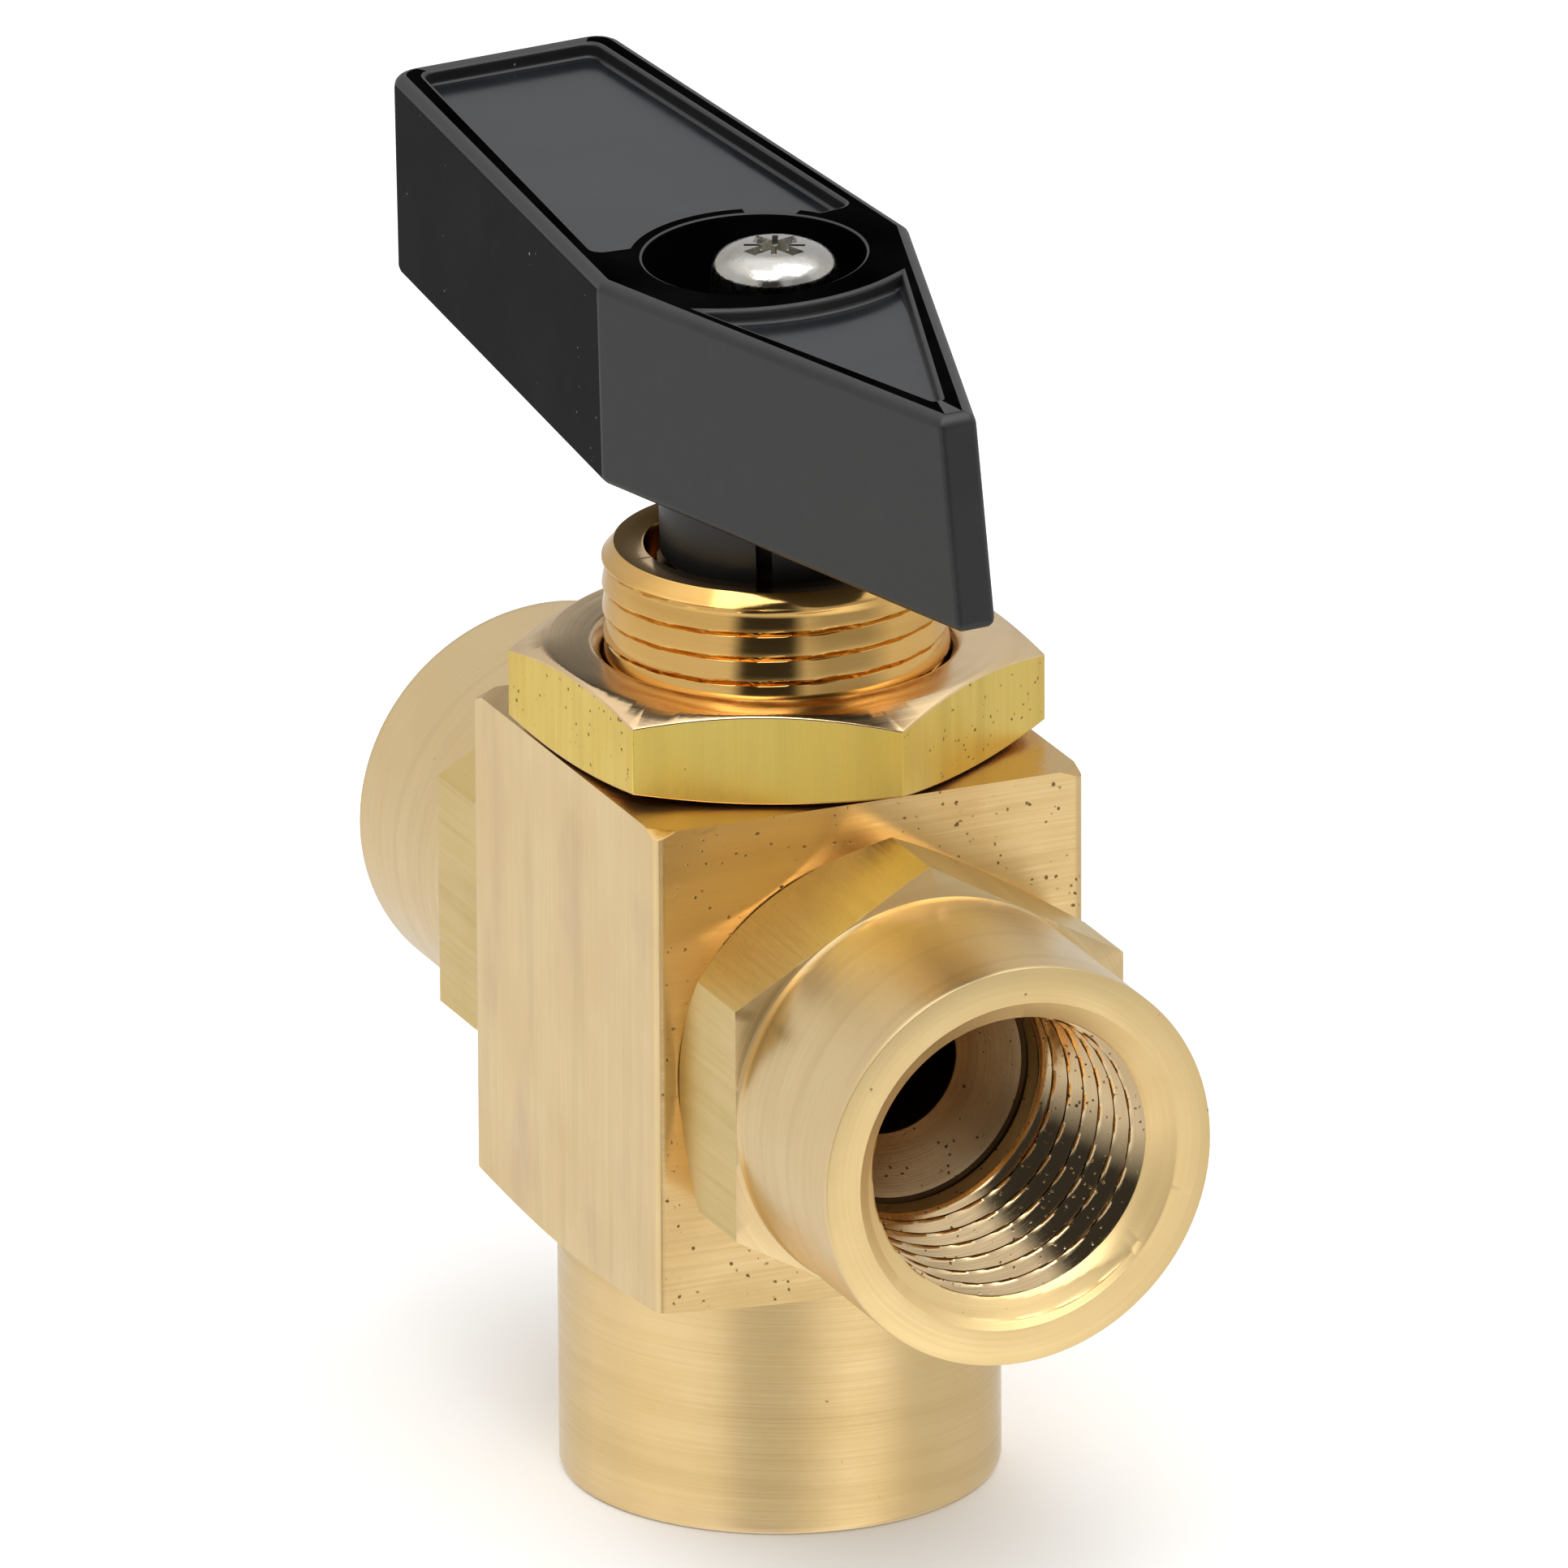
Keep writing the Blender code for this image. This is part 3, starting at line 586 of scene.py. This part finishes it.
def make_body():
    """Square block, threaded neck and lower boss, one turned piece of square bar."""
    corner = 13.6               # clear of the square bar's own corners
    flat = 12.76
    body = revolve("body_brass_block", [
        (0, BLOCK_TOP), (flat, BLOCK_TOP), (corner, BLOCK_TOP - 0.48), (corner, SHOULDER + 0.58),
        (BODY_BOSS + 0.18, SHOULDER), (BODY_BOSS + 0.05, SHOULDER - 0.06),
        (BODY_BOSS, SHOULDER - 0.2), (BODY_BOSS, BASE + 0.34), (BODY_BOSS - 0.08, BASE + 0.12),
        (BODY_BOSS - 0.24, BASE + 0.02), (BODY_BOSS - 0.36, BASE), (0, BASE)], 144)
    bar = box("bar", (-BAR / 2, -BAR / 2, BASE - 5), (BAR / 2, BAR / 2, RIM + 5))
    combine(body, bevel(bar, 0.34, 3), "INTERSECT")
    bevel(body, 0.10, 2, 28, SHOULDER + 0.02)

    thread_depth = 0.40
    root = 6.75
    rows = [(0, RIM), (6.64, RIM), (6.70, RIM - 0.05), (7.02, RIM - 0.52)]
    height = RIM - 0.60
    while height > BLOCK_TOP + 0.3:
        fade = min(1, (RIM - 0.45 - height) / 0.5)
        rows.append((NECK, height, thread_depth * fade))
        height -= NECK_PITCH / 20
    rows += [(root, BLOCK_TOP + 0.2), (root, BLOCK_TOP - 1.5), (0, BLOCK_TOP - 1.5)]
    neck = revolve("neck", rows, 160, False, (NECK_PITCH, panel_form))
    combine(body, neck, "UNION")

    ledge = 7.9                 # under the stem's flange
    bore = revolve("bore", [
        (0, RIM + 0.5), (6.0, RIM + 0.5), (NECK_BORE + 0.11, RIM), (NECK_BORE + 0.02, RIM - 0.07),
        (NECK_BORE, RIM - 0.2), (NECK_BORE, ledge), (STEM_BORE, ledge), (STEM_BORE, 0), (0, 0)], 96)
    combine(body, bore)
    cut_socket(body, -BASE, 0, math.pi)
    wide = 7.2                  # the bore's outer ends, for the adapters' threads
    across = revolve("across", [
        (0, 12), (wide, 12), (wide, 7), (NOSE_BORE, 7), (NOSE_BORE, -7), (wide, -7),
        (wide, -12), (0, -12)], 96)
    across.data.transform(Matrix.Rotation(math.pi / 2, 4, "Y"))
    combine(body, across)
    smooth(body)

    def choose(centre, normal):
        radius = math.hypot(centre.x, centre.y)
        # The neck gets its painted-shade brass.
        if centre.z > BLOCK_TOP + 0.05:
            return BRASS_NECK_PAINTED_SHADE
        if radius < wide and centre.z < 0:
            return BRASS_BORE
        if centre.z < SHOULDER + 0.02 and radius < BODY_BOSS + 0.2:
            return BRASS_BOSS
        if abs(normal.z) > 0.7:
            return BRASS_TOP
        if abs(normal.y) > 0.7:
            return BRASS_SIDE
        # Ends and corners: the deeper painted-shade brass.
        return BRASS_END_PAINTED_SHADE

    paint(body, [BRASS_NECK_PAINTED_SHADE, BRASS_BORE, BRASS_BOSS, BRASS_TOP, BRASS_SIDE, BRASS_END_PAINTED_SHADE], choose)
    return set_down(body, "body", "valve_body")


def make_adapter(side, sign):
    """End fitting: nose, hexagon chamfered on its body side, round boss, threaded socket."""
    flats = 17.2
    corner = 9.97               # the hexagon's corners, turned down a little
    face = BAR / 2 + 0.1        # where the fitting comes up to the block
    thread = 7.1                # radius of the part that screws into the body
    nose = 6.4
    groove = 5.5                # root of the O ring groove, and the nose's own bore
    adapter = revolve("adapter_" + side, [
        (0, MOUTH), (PORT_BOSS - 0.10, MOUTH), (PORT_BOSS - 0.03, MOUTH - 0.03),
        (PORT_BOSS, MOUTH - 0.10), (PORT_BOSS, MOUTH - 0.30), (PORT_BOSS, PORT_SHOULDER + 0.40),
        (PORT_BOSS + 0.03, PORT_SHOULDER + 0.2), (PORT_BOSS + 0.08, PORT_SHOULDER + 0.05),
        (PORT_BOSS + 0.25, PORT_SHOULDER), (corner, PORT_SHOULDER), (corner, 11.70),
        (8.55, face), (thread, face), (thread, 7.1), (nose, 7.1), (nose, 7.0), (groove, 7.0),
        (groove, 5.9), (nose, 5.9), (nose, 3.4), (groove, 3.4), (groove, 5.4), (0, 5.4)], 144)
    cut_socket(adapter, MOUTH, 5)
    combine(adapter, prism("hexagon", 6, flats, 2, MOUTH + 2), "INTERSECT")
    bevel(adapter, 0.09, 2, 28, face + 0.02, PORT_SHOULDER + 0.02, 8.3)
    smooth(adapter)

    def choose(centre, normal):
        radius = math.hypot(centre.x, centre.y)
        # The mouth's end face gets the paler painted-light brass.
        if centre.z > MOUTH - 1.3 and radius < PORT_BOSS - 0.05:
            return BRASS_MOUTH_PAINTED_LIGHT
        depth = MOUTH - centre.z
        # The passage and the groove at the cone's rim get the painted-shade brass.
        if radius < PASSAGE + 0.02 or (radius < 5.7 and 11.2 < depth < 11.5):
            return BRASS_PASSAGE_PAINTED_SHADE
        if radius < 5.7 and depth > 10.5:
            return BRASS_CONE
        if radius < thread + 0.02 and centre.z > 9:
            return BRASS_BORE
        outside = radius > PORT_BOSS + 0.04 and centre.z < PORT_SHOULDER + 0.1
        if outside and abs(normal.z) < 0.1:
            return BRASS_HEX
        return BRASS_TURNED

    paint(adapter, [BRASS_MOUTH_PAINTED_LIGHT, BRASS_PASSAGE_PAINTED_SHADE, BRASS_CONE, BRASS_BORE, BRASS_HEX, BRASS_TURNED],
          choose)
    return set_down(adapter, "body", "end_adapter_" + side,
                    (0, sign * math.pi / 2, 0))


def make_panel_nut():
    """Hexagon nut with turned faces, chamfered corners and a countersunk bore."""
    flats = 19.05
    bore = NECK + 0.08
    corner = flats / math.sqrt(3) + 0.1
    nut = revolve("nut_brass_panel", [
        (9.30, NUT_HIGH), (corner, NUT_HIGH - 0.68), (corner, NUT_LOW + 0.46), (9.30, NUT_LOW),
        (bore + 0.4, NUT_LOW), (bore, NUT_LOW + 0.4), (bore, NUT_HIGH - 0.42),
        (bore + 0.36, NUT_HIGH - 0.04), (bore + 0.44, NUT_HIGH)], 144, True)
    combine(nut, prism("hexagon", 6, flats, NUT_LOW - 1, NUT_HIGH + 1, math.radians(4.3)),
            "INTERSECT")
    bevel(nut, 0.07, 2, 22)
    smooth(nut)

    def choose(centre, normal):
        # Turned faces and bore: the paler painted-light brass.
        if abs(normal.z) > 0.2 or math.hypot(*centre.xy) < 9:
            return BRASS_NUT_TOP_PAINTED_LIGHT
        # The front flat, toward the key light, gets the brighter painted-light copy.
        return BRASS_NUT_FRONT_PAINTED_LIGHT if normal.x > 0.8 and normal.y < 0 else BRASS_NUT

    paint(nut, [BRASS_NUT_TOP_PAINTED_LIGHT, BRASS_NUT_FRONT_PAINTED_LIGHT, BRASS_NUT], choose)
    return set_down(nut, "nut", "panel_nut")


# ---------------------------------------------------------------- handle and screw

def handle_outline(height):
    """The drafted outline of the handle at a height, counter-clockwise."""
    t = (height - HANDLE_LOW) / (HANDLE_HIGH - HANDLE_LOW)
    rear = HANDLE_REAR + 0.15 * t
    rear_half = 5.10 - 0.08 * t
    wide = -1.5 - 0.05 * t
    wide_half = 7.02 - 0.1 * t
    tip = 20.3 - 1.3 * t
    tip_half = 0.8 - 0.02 * t
    return rounded([(rear, -rear_half, 1.2, 6), (wide, -wide_half, 0.6, 4),
                    (tip, -tip_half, 0.35, 4), (tip, tip_half, 0.35, 4),
                    (wide, wide_half, 0.6, 4), (rear, rear_half, 1.2, 6)])


def pocket(name, outline, floor, top):
    """A cutter for a moulded recess: filleted floor, rounded upper edge."""
    rings = []
    fillet = 0.22
    for i in range(4):
        a = math.pi / 2 * i / 3
        rings.append((inset(outline, fillet * (1 - math.sin(a))),
                      floor + fillet * (1 - math.cos(a))))
    edge = 0.20
    for i in range(4):
        a = math.pi / 2 * i / 3
        rings.append((inset(outline, -edge * (1 - math.cos(a))), top - edge + edge * math.sin(a)))
    rings.append((inset(outline, -edge - 0.02), top + 0.5))
    return loft(name, rings)


def make_handle():
    """Pointer handle: drafted bar with rounded edges, panels, ring, well, pillar and hub."""
    rings = []
    low_edge = 0.4
    top_edge = 0.5
    for i in range(4):
        a = math.pi / 2 * i / 3
        z = HANDLE_LOW + low_edge * (1 - math.cos(a))
        rings.append((inset(handle_outline(z), low_edge * (1 - math.sin(a))), z))
    for i in range(6):
        a = math.pi / 2 * i / 5
        z = HANDLE_HIGH - top_edge * (1 - math.sin(a))
        rings.append((inset(handle_outline(z), top_edge * (1 - math.cos(a))), z))
    handle = loft("handle_moulded", rings)

    hub = revolve("hub", [(0, HANDLE_LOW + 1), (4.83, HANDLE_LOW + 1), (4.83, HUB_LOW + 0.25),
                          (4.6, HUB_LOW), (0, HUB_LOW)], 96)
    combine(handle, hub, "UNION")

    floor = HANDLE_HIGH - 0.65
    ring = arc(WELL_X, 5.35, 234, 126, 24)
    rear = rounded([(-27.1, 3.86, 0.6, 4), (-27.1, -3.86, 0.6, 4), (-4.75, -5.62, 0.45, 4)]
                   + [(x, y, 0, 0) for x, y in ring] + [(-4.75, 5.62, 0.45, 4)])
    combine(handle, pocket("rear_panel", rear, floor, HANDLE_HIGH))
    curve = arc(-3.6, 8.25, 32.5, -32.5, 16)
    front = rounded([(16.9, -0.12, 0.1, 2), (16.9, 0.12, 0.1, 2)]
                    + [(x, y, 0, 0) for x, y in curve])
    combine(handle, pocket("front_panel", front, floor, HANDLE_HIGH))

    well = revolve("well", [(0, HANDLE_HIGH + 0.5), (WELL + 0.16, HANDLE_HIGH + 0.5),
                            (WELL + 0.14, HANDLE_HIGH), (WELL + 0.04, HANDLE_HIGH - 0.05),
                            (WELL, HANDLE_HIGH - 0.16), (WELL, WELL_FLOOR), (0, WELL_FLOOR)], 96)
    well.location.x = WELL_X * MM
    bpy.context.view_layer.update()
    pillar = revolve("pillar", [(0, 28.5), (2.4, 28.5), (2.5, 28.4), (2.5, WELL_FLOOR - 1),
                                (0, WELL_FLOOR - 1)], 64)
    combine(well, pillar)
    combine(handle, well)
    socket = revolve("socket", [(0, 25.4), (3.1, 25.4), (3.1, HUB_LOW - 1), (0, HUB_LOW - 1)], 64)
    combine(socket, box("flats", (-5, -2.3, HUB_LOW - 2), (5, 2.3, 26)), "INTERSECT")
    combine(handle, socket)
    combine(handle, revolve("hole", [(0, 30), (1.45, 30), (1.45, 24), (0, 24)], 48))
    combine(handle, box("slit", (3.8, -0.33, HUB_LOW - 1), (6, 0.33, HANDLE_LOW - 0.1),
                        math.radians(-30)))

    def choose(centre, normal):
        from_well = math.hypot(centre.x - WELL_X, centre.y)
        # The well and all inside it get the near-black painted-shade nylon.
        if from_well < WELL + 0.02 and centre.z > HANDLE_LOW + 1:
            return HANDLE_WELL_PAINTED_SHADE
        if normal.z > 0.75 and centre.z < HANDLE_HIGH - 0.3:
            return HANDLE_PANEL
        if abs(normal.z) < 0.3 and centre.x < -1.9 and centre.z > HANDLE_LOW:
            return HANDLE_REAR_FLANK
        return HANDLE_SKIN

    smooth(handle, math.radians(45))
    paint(handle, [HANDLE_WELL_PAINTED_SHADE, HANDLE_PANEL, HANDLE_REAR_FLANK, HANDLE_SKIN], choose)
    handle.data.transform(LEAN)
    return set_down(handle, "turning", "handle")


def make_screw():
    """Pan head screw with a cross recess and small ticks between its wings."""
    seat = 29.1
    head = 2.6
    rows = [(0, HEAD_HIGH)]
    for i in range(1, 11):
        a = math.pi / 2 * i / 10
        rows.append((1.1 + (head - 1.1) * math.sin(a), HEAD_HIGH - 1.05 * (1 - math.cos(a))))
    rows += [(head, seat + 0.15), (head - 0.12, seat), (1.2, seat)]
    height = seat - 0.5
    while height > SCREW_TIP + 0.4:
        rows.append((1.2, height, 0.2))
        height -= 0.45 / 8
    rows += [(0.9, SCREW_TIP), (0, SCREW_TIP)]
    screw = revolve("handle_screw_nickel", rows, 64, False, (0.45, panel_form))
    half = 0.36
    for turn in (0, 90):
        wing = loft("wing", [([(-0.75, -0.22), (0.75, -0.22), (0.75, 0.22), (-0.75, 0.22)],
                              HEAD_HIGH - 1.2),
                             ([(-1.5, -half), (1.5, -half), (1.5, half), (-1.5, half)],
                              HEAD_HIGH + 0.1)])
        wing.data.transform(Matrix.Rotation(math.radians(turn + 20), 4, "Z"))
        combine(screw, wing)
        tick = box("tick", (-1.25, -0.12, HEAD_HIGH - 0.22), (1.25, 0.12, HEAD_HIGH + 0.5),
                   math.radians(turn + 65))
        combine(screw, tick)
    smooth(screw, math.radians(35))
    screw.data.materials.append(NICKEL)
    return set_down(screw, "turning", "handle_screw")


# ---------------------------------------------------------------- inner pieces, stage, camera

def finish_inner_pieces():
    """The CAD pieces inside keep their shapes and get finished materials."""
    # The ball gets the dark painted-shade finish.
    finishes = {"ball": BALL_PAINTED_SHADE, "stem": STEEL, "stop_pin": STEEL, "packing_spring": STEEL,
                "lock_washer": NICKEL, "gland_nut": BRASS_INNER, "gland_follower": BRASS_INNER,
                "stem_thrust_washer": PTFE, "packing_ring_lower": PTFE,
                "packing_ring_upper": PTFE, "seat_right": PTFE, "seat_left": PTFE,
                "adapter_o_ring_right": RUBBER, "adapter_o_ring_left": RUBBER}
    for name, material in finishes.items():
        obj = frame["nodes"][name]
        obj.data.materials.clear()
        obj.data.materials.append(material)


def make_floor():
    """A wide pale floor just under the bottom port."""
    material, tree, shader = new_material("floor_pale")
    shader.inputs["Base Color"].default_value = (0.95, 0.95, 0.95, 1)
    shader.inputs["Roughness"].default_value = 0.9
    shader.inputs["Specular IOR Level"].default_value = 0.1
    half = 6000
    floor = mesh_object("floor", [(-half, -half, 0), (half, -half, 0), (half, half, 0),
                                  (-half, half, 0)], [(0, 1, 2, 3)])
    floor.data.materials.append(material)
    floor.visible_glossy = False


def make_world():
    """A white tent over a white table, with a dark gap where the photographer stands."""
    world = bpy.data.worlds.new("studio")
    bpy.context.scene.world = world
    world.use_nodes = True
    tree = world.node_tree
    direction = node(tree, "ShaderNodeTexCoord").outputs["Generated"]
    height = node(tree, "ShaderNodeSeparateXYZ", [(0, direction)]).outputs[2]
    level = node(tree, "ShaderNodeVectorMath", [(0, direction), (1, (1, 1, 0))],
                 operation="MULTIPLY")
    level = node(tree, "ShaderNodeVectorMath", [(0, level.outputs[0])], operation="NORMALIZE")

    def shade(value, azimuth, half, soft, change):
        """Lighten or darken one side of the tent, in degrees from the gap."""
        a = math.radians(VIEW_AZIMUTH + azimuth)
        facing = node(tree, "ShaderNodeVectorMath",
                      [(0, level.outputs[0]), (1, (math.sin(a), -math.cos(a), 0))],
                      operation="DOT_PRODUCT").outputs["Value"]
        edge = math.cos(math.radians(half + soft))
        return arithmetic(tree, "ADD", value,
                          remap(tree, facing, edge, math.cos(math.radians(half)), 0, change))

    table = shade(0.95, 118, 32, 22, -0.26)
    table = shade(table, -148, 14, 22, -0.12)
    table = shade(table, -56, 18, 20, 0.14)
    table = shade(table, -7, 11, 14, -0.18)
    table = shade(table, 44, 10, 12, 0.32)
    table = shade(table, 66, 8, 10, -0.12)
    tent = shade(0.80, -6, 16, 9, -0.76)
    tent = shade(tent, 46, 14, 20, -0.36)
    tent = shade(tent, 180, 30, 30, -0.18)
    sides = mix_value(tree, remap(tree, height, -0.42, -0.04, 0, 1), table, tent)
    bright = mix_value(tree, remap(tree, height, 0.55, 0.85, 0, 1), sides, 1.45)
    tree.links.new(bright, tree.nodes["Background"].inputs["Strength"])
    tree.nodes["Background"].inputs["Color"].default_value = (1, 1, 1, 1)


def add_light(name, azimuth, elevation, distance, size, watts):
    """A square soft box aimed at the valve, from millimetres and degrees."""
    light = bpy.data.lights.new(name, "AREA")
    light.size = size * MM
    light.energy = watts
    lamp = bpy.data.objects.new(name, light)
    bpy.context.scene.collection.objects.link(lamp)
    a, e = math.radians(azimuth), math.radians(elevation)
    direction = Vector((math.sin(a) * math.cos(e), -math.cos(a) * math.cos(e), math.sin(e)))
    lamp.location = CENTRE + direction * distance * MM
    lamp.rotation_euler = direction.to_track_quat("Z", "Y").to_euler()


VIEW_AZIMUTH = 66.55
VIEW_ELEVATION = 19.86
VIEW_ROLL = -0.27
VIEW_DISTANCE = 1078.6
VIEW_LENS = 602.6
LOOK_RIGHT = 0.286       # the point looked at, from the valve centre across the view
LOOK_UP = 7.904          # and up the view


def make_camera():
    a, e = math.radians(VIEW_AZIMUTH), math.radians(VIEW_ELEVATION)
    back = Vector((math.sin(a) * math.cos(e), -math.cos(a) * math.cos(e), math.sin(e)))
    right = Vector((math.cos(a), math.sin(a), 0))
    up = back.cross(right)
    data = bpy.data.cameras.new("camera")
    data.sensor_width = 36
    data.lens = VIEW_LENS
    data.clip_start = 0.05
    data.clip_end = 50
    camera = bpy.data.objects.new("camera", data)
    bpy.context.scene.collection.objects.link(camera)
    roll = Matrix.Rotation(math.radians(VIEW_ROLL), 3, "Z")
    camera.rotation_euler = (Matrix((right, up, back)).transposed() @ roll).to_euler()
    target = CENTRE + (right * LOOK_RIGHT + up * LOOK_UP) * MM
    camera.location = target + back * VIEW_DISTANCE * MM
    bpy.context.scene.camera = camera


make_camera()
make_world()
make_floor()
add_light("key", VIEW_AZIMUTH - 20, 60, 600, 450, 1.1)
add_light("top", VIEW_AZIMUTH + 80, 70, 600, 450, 0.9)
bpy.context.scene.view_settings.view_transform = "Standard"

make_body()
for name, sign in (("right", 1), ("left", -1)):
    make_adapter(name, sign)
make_panel_nut()
make_handle()
make_screw()
finish_inner_pieces()
